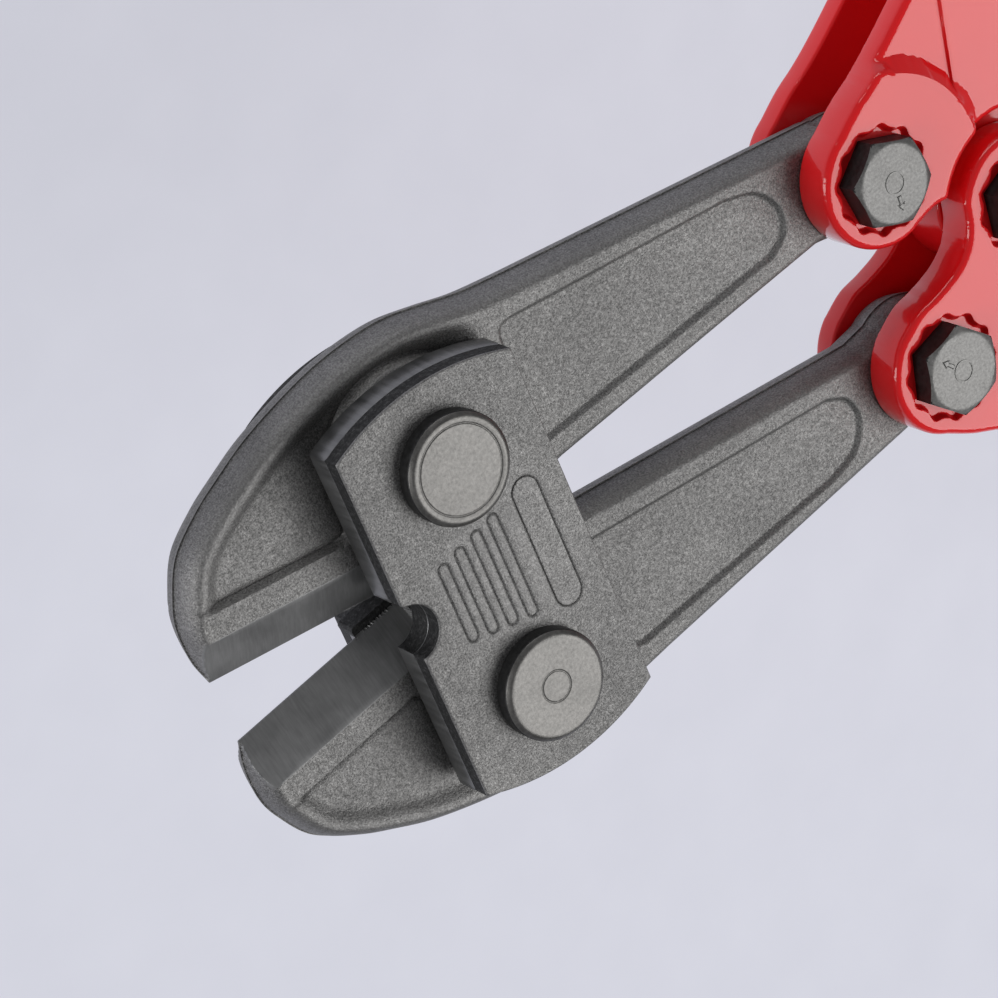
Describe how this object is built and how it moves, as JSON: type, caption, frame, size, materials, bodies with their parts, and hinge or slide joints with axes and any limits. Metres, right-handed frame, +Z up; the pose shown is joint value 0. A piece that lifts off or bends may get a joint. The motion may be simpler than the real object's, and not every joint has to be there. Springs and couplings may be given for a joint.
{
  "type": "bolt cutters",
  "caption": "Compound-action bolt cutters: forged blades between side plates, eccentric tang bolts, crossed red handle forks, tubular handles with guarded grips.",
  "frame": {"origin": "centre joint's axis, at the rear end of its bolt, on the plane the tool lies on", "axes": "+X from the jaws to the grips, +Y from the lower to the upper handle, +Z up out of the resting plane"},
  "size_m": [0.6501, 0.8088, 0.0484],
  "materials": {
    "forged_steel": "blasted and blackened, satin grain",
    "ground_steel": "ground pin faces, dark sides",
    "bolt_steel": "plain steel, dull",
    "bronze": "plain bearing bronze",
    "red_lacquer": "glossy red lacquer",
    "stop_rubber": "matt",
    "grip_core": "fine grain",
    "grip_sleeve": "fine grain",
    "end_cap": "fine grain"
  },
  "bodies": {
    "head": {"front_side_plate": "forged_steel", "rear_side_plate": "forged_steel", "upper_pivot_pin": "ground_steel", "lower_pivot_pin": "ground_steel", "pivot_pin_collars": "ground_steel"},
    "upper_jaw": {"upper_blade": "forged_steel"},
    "lower_jaw": {"lower_blade": "forged_steel"},
    "upper_handle": {"upper_handle_fork": "red_lacquer", "upper_handle_tube": "red_lacquer", "upper_tube_rivets": "bolt_steel", "upper_grip_core": "grip_core", "upper_grip_sleeve": "grip_sleeve", "upper_end_cap": "end_cap", "upper_stop_buffer": "stop_rubber", "upper_eccentric_bolt": "bolt_steel", "upper_eccentric_washer": "bolt_steel", "upper_eccentric_nut": "bolt_steel"},
    "lower_handle": {"lower_handle_fork": "red_lacquer", "lower_handle_tube": "red_lacquer", "lower_tube_rivets": "bolt_steel", "lower_grip_core": "grip_core", "lower_grip_sleeve": "grip_sleeve", "lower_end_cap": "end_cap", "lower_stop_buffer": "stop_rubber", "lower_eccentric_bolt": "bolt_steel", "lower_eccentric_washer": "bolt_steel", "lower_eccentric_nut": "bolt_steel", "centre_bolt": "bolt_steel", "centre_bush": "bronze", "centre_washer": "bolt_steel", "centre_nut": "bolt_steel"}
  },
  "joints": [
    {"name": "upper_blade_pivot", "type": "hinge", "parent": "head", "child": "upper_jaw", "pos_m": [-0.15826, 0.0285, 0.0242], "axis": [0, 0, 1], "range_deg": [-0.79, 7.21]},
    {"name": "lower_blade_pivot", "type": "hinge", "parent": "head", "child": "lower_jaw", "pos_m": [-0.15826, -0.0285, 0.0242], "axis": [0, 0, 1], "range_deg": [-7.21, 0.79]},
    {"name": "upper_handle_pivot", "type": "hinge", "parent": "upper_jaw", "child": "upper_handle", "pos_m": [-0.03412, 0.02449, 0.0242], "axis": [0, 0, 1], "range_deg": [-44.14, 4.78]},
    {"name": "lower_handle_pivot", "type": "hinge", "parent": "lower_jaw", "child": "lower_handle", "pos_m": [-0.03412, -0.02449, 0.0242], "axis": [0, 0, 1], "range_deg": [-4.79, 44.15]}
  ],
  "couplings": [
    {"joint": "lower_handle_pivot", "follows": "upper_handle_pivot", "ratio": -1},
    {"joint": "upper_blade_pivot", "follows": "upper_handle_pivot", "ratio": -0.16312},
    {"joint": "lower_blade_pivot", "follows": "upper_handle_pivot", "ratio": 0.16312}
  ]
}
